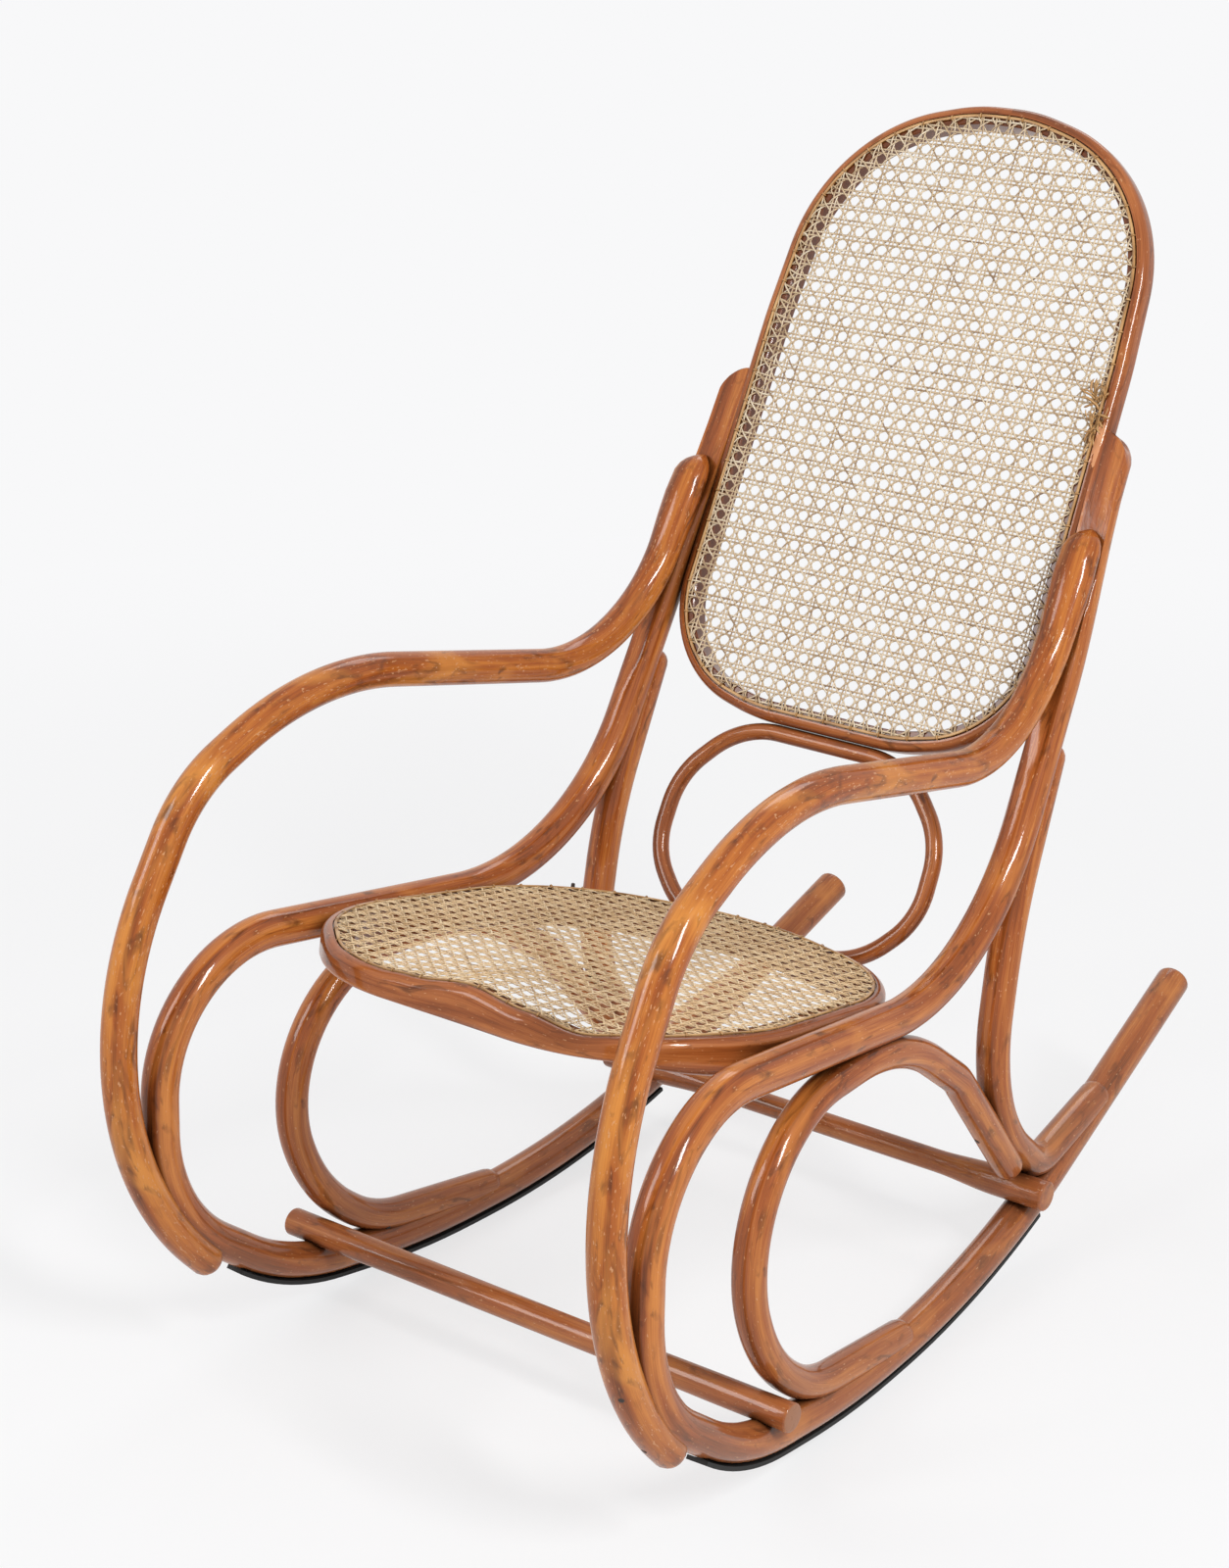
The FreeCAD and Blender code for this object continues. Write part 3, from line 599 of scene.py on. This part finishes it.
cane = {
    "holeLine": 11.6,  # inwards from the frame's outer edge
    "pair": 1.9,  # half the distance between the two strands of a pair
    "width": 1.7,
    "diagonalWidth": 1.6,
    "thickness": 0.85,
    "lift": 0.45,  # how far a straight strand goes over and under
    "diagonalLift": 0.95,
    "above": -0.15,  # the weave's middle over the frame's face
    "shortest": 14.0,
    "clear": 4.0,  # the weave starts this far inside the line of holes
    "wander": 0.35,  # how unevenly a strand was laid
    "waver": 70.0,
    "uneven": (0.9, 1.08),  # of a strand's width
    "bend": 0.55,  # where on its way to a hole a strand turns down
    "rise": (0.1, 0.5),  # how far it's raised there
    "sunk": 0.8,
    "holeJitter": 0.7,
}


def insetLine(line, inset):
    return [point + Vector((-direction.y, direction.x)) * inset for point, direction, distance in line]


def frameHoles(line, spacing):
    # the drilled holes that the strands go down, evenly along the rim
    length = sum((b - a).length for a, b in zip(line, line[1:] + line[:1]))
    count = round(length / spacing)
    holes = []
    walked = 0.0
    for a, b in zip(line, line[1:] + line[:1]):
        run = (b - a).length
        while run > 0 and len(holes) < count and len(holes) * length / count <= walked + run:
            holes.append(a + (b - a) * ((len(holes) * length / count - walked) / run))
        walked += run
    return holes


def crossings(line, origin, along):
    # where a straight line enters and leaves the rim
    found = []
    for a, b in zip(line, line[1:] + line[:1]):
        sideA = (a - origin).cross(along)
        sideB = (b - origin).cross(along)
        if sideA * sideB < 0:
            spot = a + (b - a) * (sideA / (sideA - sideB))
            found.append((spot - origin).dot(along))
    return (min(found), max(found)) if len(found) >= 2 else None


def addStrand(mesh, grain, nodes, width, thickness, place, move, number):
    # a flat oval strip through the nodes, drawn to a point at both ends; number keeps its grain apart
    rows = len(nodes)
    made = bmesh.ops.create_grid(mesh, x_segments=4, y_segments=rows - 1, size=1)["verts"]
    profile = [(0.5, 0.0), (0.0, 0.5), (-0.5, 0.0), (0.0, -0.5)]
    distances = [0.0]
    for a, b in zip(nodes, nodes[1:]):
        distances.append(distances[-1] + (b - a).length)
    spots = {}
    for vert in made:
        column = round((vert.co.x + 1) / 2 * 4)
        row = round((vert.co.y + 1) / 2 * (rows - 1))
        ahead = nodes[min(row + 1, rows - 1)] - nodes[max(row - 1, 0)]
        side = Vector((-ahead.y, ahead.x, 0)).normalized()
        a, b = profile[column % 4]
        size = 0.0 if row in (0, rows - 1) else 1.0
        co = nodes[row] + (side * a * width + Vector((0, 0, b * thickness))) * size
        spots[vert] = (co, Vector((a * width + number * 7, b * thickness + number * 3, distances[row])) * 0.001)
    for face in {face for vert in made for face in vert.link_faces}:
        face.smooth = True
        for loop in face.loops:
            loop[grain] = spots[loop.vert][1]
    for vert, (co, stick) in spots.items():
        vert.co = place @ (move(co) if move else co)


def straightNodes(start, pitch, reach, sign):
    # a strand of a pair goes over one strand of each crossing pair and under the other
    nodes = []
    for k in range(-reach, reach + 1):
        at = start + k * pitch
        nodes += [(at - cane["pair"], -cane["lift"] * sign), (at + cane["pair"], cane["lift"] * sign)]
    return nodes


def weave(name, settings):
    # six-way cane: pairs of strands up and across, single ones both ways on the slant
    chance = random.Random(settings["seed"])
    rim = insetLine(wholeOutline(name), cane["holeLine"])
    holes = frameHoles(rim, settings["pitch"][0])
    pitchX, pitchY = settings["pitch"]
    startX, startY = settings["pairs"]
    middleZ = settings["high"] + cane["above"]
    reachX = int(max(point.x for point in rim) / pitchX) + 1
    reachY = int(max(abs(point.y) for point in rim) / pitchY) + 1
    strands = []
    for side in (-1, 1):
        for k in range(-reachX, reachX + 1):
            nodes = straightNodes(startY, pitchY, reachY, side)
            strands.append((Vector((startX + k * pitchX + side * cane["pair"], 0)), Vector((0, 1)), nodes,
                            cane["width"]))
        for m in range(-reachY, reachY + 1):
            nodes = straightNodes(startX, pitchX, reachX, -side)
            strands.append((Vector((0, startY + m * pitchY + side * cane["pair"])), Vector((1, 0)), nodes,
                            cane["width"]))
    for slant in (1, -1):
        along = Vector((pitchX, slant * pitchY)).normalized()
        for m in range(-reachX - reachY, reachX + reachY + 1):
            nodes = []
            for k in range(-2 * reachX - 2, 2 * reachX + 3):
                height = cane["diagonalLift"] * slant * (1 if k % 2 == 0 else -1)
                for near in (-cane["pair"], cane["pair"]):
                    nodes.append(((k * pitchX / 2 + near) / along.x, height))
            strands.append((Vector((startX, startY + (m + 0.5) * pitchY)), along, nodes, cane["diagonalWidth"]))
    mesh = bmesh.new()
    grain = mesh.loops.layers.float_vector.new("grain")
    number = 0
    for origin, along, nodes, width in strands:
        ends = crossings(rim, origin, along)
        if not ends or ends[1] - ends[0] < cane["shortest"]:
            continue
        number += 1
        across = Vector((-along.y, along.x)) * chance.uniform(-1, 1) * cane["wander"]
        points = []
        for t, height in nodes:
            if ends[0] + cane["clear"] < t < ends[1] - cane["clear"]:
                flat = origin + along * t + across * math.sin(t / cane["waver"] + number)
                points.append(Vector((flat.x, flat.y, middleZ + height)))
        tips = []
        for t in ends:
            spot = origin + along * t
            hole = min(holes, key=lambda place: (place - spot).length)
            halfWay = spot + (hole - spot) * cane["bend"]
            jitter = cane["holeJitter"]
            hole = hole + Vector((chance.uniform(-jitter, jitter), chance.uniform(-jitter, jitter)))
            tips.append([Vector((hole.x, hole.y, middleZ - cane["sunk"])),
                         Vector((halfWay.x, halfWay.y, middleZ + chance.uniform(*cane["rise"])))])
        points = tips[0] + points + tips[1][::-1]
        addStrand(mesh, grain, points, width * chance.uniform(*cane["uneven"]), cane["thickness"], settings["place"],
                  settings["move"], number)
    bmesh.ops.remove_doubles(mesh, verts=mesh.verts, dist=0.000001)
    bmesh.ops.recalc_face_normals(mesh, faces=mesh.faces)
    print(name, "cane: strands", number, "faces", len(mesh.faces))
    return meshPiece(name + "Cane", mesh), holes


binder = {
    "width": 2.8,
    "thickness": 1.2,
    "edge": 0.3,  # of its thickness at the side
    "sunk": 0.6,  # from there down to its flat underside
    "sides": 12,
    "above": 0.2,
    "tieWidth": 1.9,
    "tieThickness": 0.8,
    "tieReach": 2.3,
    "tie": [(-1.1, -1.0), (-1.0, 0.2), (-0.55, 1.7), (0, 2.1), (0.55, 1.7), (1.0, 0.2), (1.1, -1.0)],  # (reach, up)
}


def addBinder(name, settings, holes):
    # the strip that hides the frame's holes, tied down at each second hole
    base = settings["high"] + binder["above"]
    profile = []
    for k in range(binder["sides"]):
        angle = 2 * math.pi * k / binder["sides"]
        up = math.sin(angle)
        height = binder["thickness"] * (0.5 + 0.5 * up) if up > 0.01 else binder["edge"]
        profile.append((cane["holeLine"] + binder["width"] / 2 * math.cos(angle),
                        base + height - (binder["sunk"] if up < -0.01 else 0)))
    strip = sweep(name + "Binder", wholeOutline(name), profile, settings["place"], closed=True,
                  move=settings["move"])
    mesh = bmesh.new()
    mesh.from_mesh(strip.data)
    grain = mesh.loops.layers.float_vector["grain"]
    for i in range(0, len(holes), 2):
        ahead = (holes[(i + 1) % len(holes)] - holes[i - 1]).normalized()
        out = Vector((-ahead.y, ahead.x)) * binder["tieReach"]
        nodes = []
        for t, height in binder["tie"]:
            flat = holes[i] + out * t
            nodes.append(Vector((flat.x, flat.y, base + height)))
        addStrand(mesh, grain, nodes, binder["tieWidth"], binder["tieThickness"], settings["place"],
                  settings["move"], i)
    bmesh.ops.remove_doubles(mesh, verts=mesh.verts, dist=0.000001)
    bmesh.ops.recalc_face_normals(mesh, faces=mesh.faces)
    mesh.to_mesh(strip.data)
    mesh.free()
    return strip


# where the cane has torn out of the back hoop at the upper right: bare wood and loose ends
torn = {
    "middle": (184.0, 84.0),  # on the back's plane
    "spread": (6.0, 17.0),
    "loose": 34,
    "seed": 11,
    "width": 2.3,
    "uneven": (0.5, 1.2),  # of the width
    "thickness": 0.6,
    "length": (10, 26),
    "lift": (2.5, 8.0),
    "heading": (0.9, 2.6),  # radians from the back's width
    "curl": 0.35,  # how far one turns at each step
    "steps": 7,
    "arch": 2.2,  # its height follows a sine up to this angle
    "above": 12.4,  # where they start, along the back's normal
    "bare": "DCAE86",
    "bareAt": 56.0,  # up the back's plane
    "bareHalf": 18.0,
}
tornAt = [spot[2] for spot in wholeOutline("back") if spot[0].x > 190 and spot[0].y > torn["bareAt"]][0]
tornFrom, tornTo = [(tornAt + half) / 1000 for half in (-torn["bareHalf"], torn["bareHalf"])]
tornBeech = beechMaterial("bent beech torn edge",
                          dict(redBeech, ragged=0.03, bare=(torn["bare"], tornFrom, tornTo, 0.002)), hoop=True)


def addLooseEnds():
    chance = random.Random(torn["seed"])
    mesh = bmesh.new()
    grain = mesh.loops.layers.float_vector.new("grain")
    for number in range(torn["loose"]):
        flat = Vector([middle + chance.uniform(-1, 1) * spread
                       for middle, spread in zip(torn["middle"], torn["spread"])])
        heading = chance.uniform(*torn["heading"]) + (math.pi if chance.random() < 0.5 else 0)
        length, height = chance.uniform(*torn["length"]), chance.uniform(*torn["lift"])
        nodes = []
        for k in range(torn["steps"] + 1):
            t = k / torn["steps"]
            nodes.append(Vector((flat.x, flat.y, torn["above"] + height * math.sin(t * torn["arch"]))))
            flat = flat + Vector((math.cos(heading), math.sin(heading))) * length / torn["steps"]
            heading += chance.uniform(-torn["curl"], torn["curl"])
        addStrand(mesh, grain, nodes, torn["width"] * chance.uniform(*torn["uneven"]), torn["thickness"],
                  backPlace, None, number)
    bmesh.ops.remove_doubles(mesh, verts=mesh.verts, dist=0.000001)
    bmesh.ops.recalc_face_normals(mesh, faces=mesh.faces)
    return meshPiece("tornCane", mesh)


dress(addLooseEnds(), binderMaterial)

for name, settings in panels.items():
    rim = sweep(name + "Hoop", wholeOutline(name), rimProfile(settings), settings["place"], closed=True,
                move=settings["move"])
    dress(rim, tornBeech if name == "back" else hoopBeech, [name + "_frame"])
    panel, holes = weave(name, settings)
    dress(panel, seatCaneMaterial if name == "seat" else caneMaterial, [name + "_cane"])
    dress(addBinder(name, settings, holes), binderMaterial, [name + "_cane_binding"])
print("seat and back woven")

ring = {"across": 16.0, "drop": -253.5 - 8.3}
ringPlace = backPlace @ Matrix.Translation((0, ring["drop"], 0))
ringProfile = [(ring["across"] / 2 * a, ring["across"] / 2 * b) for a, b in roundProfile(20)]
dress(sweep("backRing", wholeOutline("ring"), ringProfile, ringPlace, closed=True), ringBeech,
      ["back_ring"])
print("ring bent")

stretchers = {
    "front": {"half": 279.0, "stops": [(0, 26, 26), (60, 26, 26), (150, 25, 25), (408, 25, 25), (498, 26, 26),
                                       (558, 26, 26)]},
    "rear": {"half": 256.0, "stops": [(0, 29, 29), (55, 29, 29), (120, 22, 22), (392, 22, 22), (457, 29, 29),
                                      (512, 29, 29)]},
}


def addStretcher(word):
    settings = stretchers[word]
    low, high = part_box(word + "_stretcher")
    middle = (low + high) / 2
    half = settings["half"]
    tip = stickEnd["stretcherTip"]
    step = 8.0
    spots = [(Vector((-half + k * step, 0)), Vector((1, 0)), k * step) for k in range(int(2 * half / step) + 1)]
    spots[-1] = (Vector((half, 0)), Vector((1, 0)), 2 * half)
    line = withTips(spots, tip)

    def sizeAt(distance):
        across, depth = blendAt(settings["stops"], distance)
        end = endSize(2 * half, across / 2, tip, distance)
        return across / 2 * end, depth / 2 * end

    place = Matrix.Translation(middle) @ Matrix.Scale(0.001, 4)
    return sweep(word + "Stretcher", line, roundProfile(), place, sizeAt=sizeAt)


# the front one's sawn right end shows its bare end grain
stretcherBeech = beechMaterial("turned varnished beech", dict(beech, bare=("A88468", 0.5575, 0.56, -1.0)))
for word in ("front", "rear"):
    dress(addStretcher(word), stretcherBeech if word == "front" else railBeech, [word + "_stretcher"])
print("stretchers turned")

# dark spots where screws are sunk and plugged, and one caning peg left standing in the seat hoop's
# rear rim; each spot is (place, direction it faces), in metres
plugs = {
    "screws": {
        "across": 5.4,
        "height": 0.5,
        "at": [((0.225, 0.0973, 0.1585), (-0.085, -0.775, -0.626)),
               ((-0.2345, -0.1931, 0.0447), (0.779, -0.249, -0.575)),
               ((0.2629, -0.4848, 0.1876), (0.431, -0.825, -0.365)),
               ((0.2548, -0.4453, 0.1191), (-0.084, -0.788, -0.61))],
    },
    "peg": {
        "across": 4.0,
        "height": 2.6,
        "at": [(seatPlace @ Vector((-173.2, 168.9, 0)), seatPlace.to_3x3() @ Vector((0, 0, 1)))],
    },
}


def plugMaterial():
    # end-grain beech plug, stained nearly black by the iron screw below it: dull, with faint rings
    material, tree = newMaterial("iron stained beech plug")
    place = addNode(tree, "ShaderNodeTexCoord").outputs["Object"]
    rings = addNode(tree, "ShaderNodeTexNoise", {"Scale": 900.0, "Detail": 2.0}, {"Vector": place})
    ramp = addNode(tree, "ShaderNodeValToRGB", links={"Fac": rings.outputs["Fac"]})
    ramp.color_ramp.elements[0].color = toLinear("1A120E")
    ramp.color_ramp.elements[1].color = toLinear("3A2A20")
    shader = addNode(tree, "ShaderNodeBsdfPrincipled", {"IOR": 1.5, "Roughness": 0.55},
                     {"Base Color": ramp.outputs["Color"]})
    finishMaterial(tree, shader.outputs[0])
    return material


def addPlugs():
    # each is a low dome, spun from half its outline
    dome = ((0, 1), (0.6, 0.96), (0.9, 0.8), (1, -0.6))
    mesh = bmesh.new()
    for settings in plugs.values():
        radius, height = settings["across"] / 2000, settings["height"] / 1000
        for at, facing in settings["at"]:
            before = set(mesh.verts)
            rim = [mesh.verts.new((radius * x, 0, height * z)) for x, z in dome]
            edges = [mesh.edges.new(pair) for pair in zip(rim, rim[1:])]
            bmesh.ops.spin(mesh, geom=rim + edges, cent=(0, 0, 0), axis=(0, 0, 1), angle=2 * math.pi, steps=16,
                           use_merge=True)
            turn = Vector(facing).normalized().to_track_quat("Z", "Y").to_matrix().to_4x4()
            bmesh.ops.transform(mesh, matrix=Matrix.Translation(at) @ turn,
                                verts=[vert for vert in mesh.verts if vert not in before])
    bmesh.ops.remove_doubles(mesh, verts=mesh.verts, dist=0.00001)
    bmesh.ops.holes_fill(mesh, edges=[edge for edge in mesh.edges if edge.is_boundary], sides=0)
    bmesh.ops.recalc_face_normals(mesh, faces=mesh.faces)
    smoothAll(mesh)
    return meshPiece("screwPlugs", mesh)


dress(addPlugs(), plugMaterial())
print("plugs set")

stage = {"floor": "F2F2F2", "white": "F8F8F9", "near": 0.75, "fadeFrom": 0.9, "fadeTo": 2.4, "light": 0.46,
         "reach": 14.0}


def seenRays(tree):
    # 1 for what the camera, a reflection or glass sees, 0 for what lights the chair
    ray = addNode(tree, "ShaderNodeLightPath")
    seen = addNode(tree, "ShaderNodeMath", {"operation": "MAXIMUM"},
                   {0: ray.outputs["Is Camera Ray"], 1: ray.outputs["Is Glossy Ray"]})
    return addNode(tree, "ShaderNodeMath", {"operation": "MAXIMUM"},
                   {0: seen.outputs[0], 1: ray.outputs["Is Transmission Ray"]}).outputs[0]


def addFloor():
    # white studio paper: it keeps a faint shadow near the chair and is plain white further off
    mesh = bmesh.new()
    bmesh.ops.create_grid(mesh, x_segments=1, y_segments=1, size=stage["reach"])
    floor = meshPiece("studioFloor", mesh)
    material, tree = newMaterial("matt white studio paper")
    paper = addNode(tree, "ShaderNodeBsdfPrincipled", {"Base Color": toLinear(stage["floor"]), "Roughness": 0.9})
    glow = addNode(tree, "ShaderNodeEmission", {"Color": toLinear(stage["white"]), "Strength": 1.0})
    place = addNode(tree, "ShaderNodeTexCoord").outputs["Object"]
    away = addNode(tree, "ShaderNodeVectorMath", {"operation": "LENGTH"}, {0: place})
    fade = addNode(tree, "ShaderNodeMapRange", {"interpolation_type": "SMOOTHSTEP", "From Min": stage["fadeFrom"],
                                                "From Max": stage["fadeTo"], "To Min": stage["near"]},
                   {"Value": away.outputs["Value"]})
    share = addNode(tree, "ShaderNodeMath", {"operation": "MULTIPLY"}, {0: fade.outputs["Result"],
                                                                        1: seenRays(tree)})
    mix = addNode(tree, "ShaderNodeMixShader", links={0: share.outputs[0], 1: paper.outputs[0],
                                                      2: glow.outputs[0]})
    finishMaterial(tree, mix.outputs[0])
    floor.data.materials.append(material)


def addWorld():
    world = bpy.data.worlds.new("studio")
    bpy.context.scene.world = world
    world.use_nodes = True
    tree = world.node_tree
    tree.nodes.clear()
    light = addNode(tree, "ShaderNodeBackground", {"Color": toLinear("FFFFFF"), "Strength": stage["light"]})
    white = addNode(tree, "ShaderNodeBackground", {"Color": toLinear(stage["white"]), "Strength": 1.0})
    mix = addNode(tree, "ShaderNodeMixShader", links={0: seenRays(tree), 1: light.outputs[0],
                                                      2: white.outputs[0]})
    addNode(tree, "ShaderNodeOutputWorld", links={"Surface": mix.outputs[0]})


lampAim = Vector((0, 0, 0.45))
lamps = {
    "key": {"at": (2.6, -0.9, 2.7), "size": (0.45, 1.3), "power": 84.0},
    "fill": {"at": (-1.6, -2.6, 2.3), "size": (1.2, 1.6), "power": 44.0},
    "back": {"at": (-0.8, 2.4, 2.9), "size": (1.6, 0.9), "power": 14.0},
}


def addLamp(name, settings):
    data = bpy.data.lights.new(name, "AREA")
    data.shape = "RECTANGLE"
    data.size, data.size_y = settings["size"]
    data.energy = settings["power"]
    lamp = bpy.data.objects.new(name, data)
    lamp.location = settings["at"]
    lamp.rotation_euler = (lampAim - lamp.location).to_track_quat("-Z", "Y").to_euler()
    bpy.context.scene.collection.objects.link(lamp)


cameraAt = {
    "place": (1.56558, -2.18667, 1.51095),
    "turn": (69.0988, 0.1705, 37.4665),
    "lens": 74.25,
}


def addCamera():
    data = bpy.data.cameras.new("camera")
    data.sensor_fit = "VERTICAL"
    data.sensor_height = 36.0
    data.lens = cameraAt["lens"]
    data.clip_start = 0.05
    data.clip_end = 60.0
    camera = bpy.data.objects.new("camera", data)
    camera.location = cameraAt["place"]
    camera.rotation_euler = [math.radians(angle) for angle in cameraAt["turn"]]
    bpy.context.scene.collection.objects.link(camera)
    bpy.context.scene.camera = camera


addFloor()
addWorld()
for name, settings in lamps.items():
    addLamp(name, settings)
addCamera()
bpy.context.scene.view_settings.view_transform = "Standard"
print("stage set")
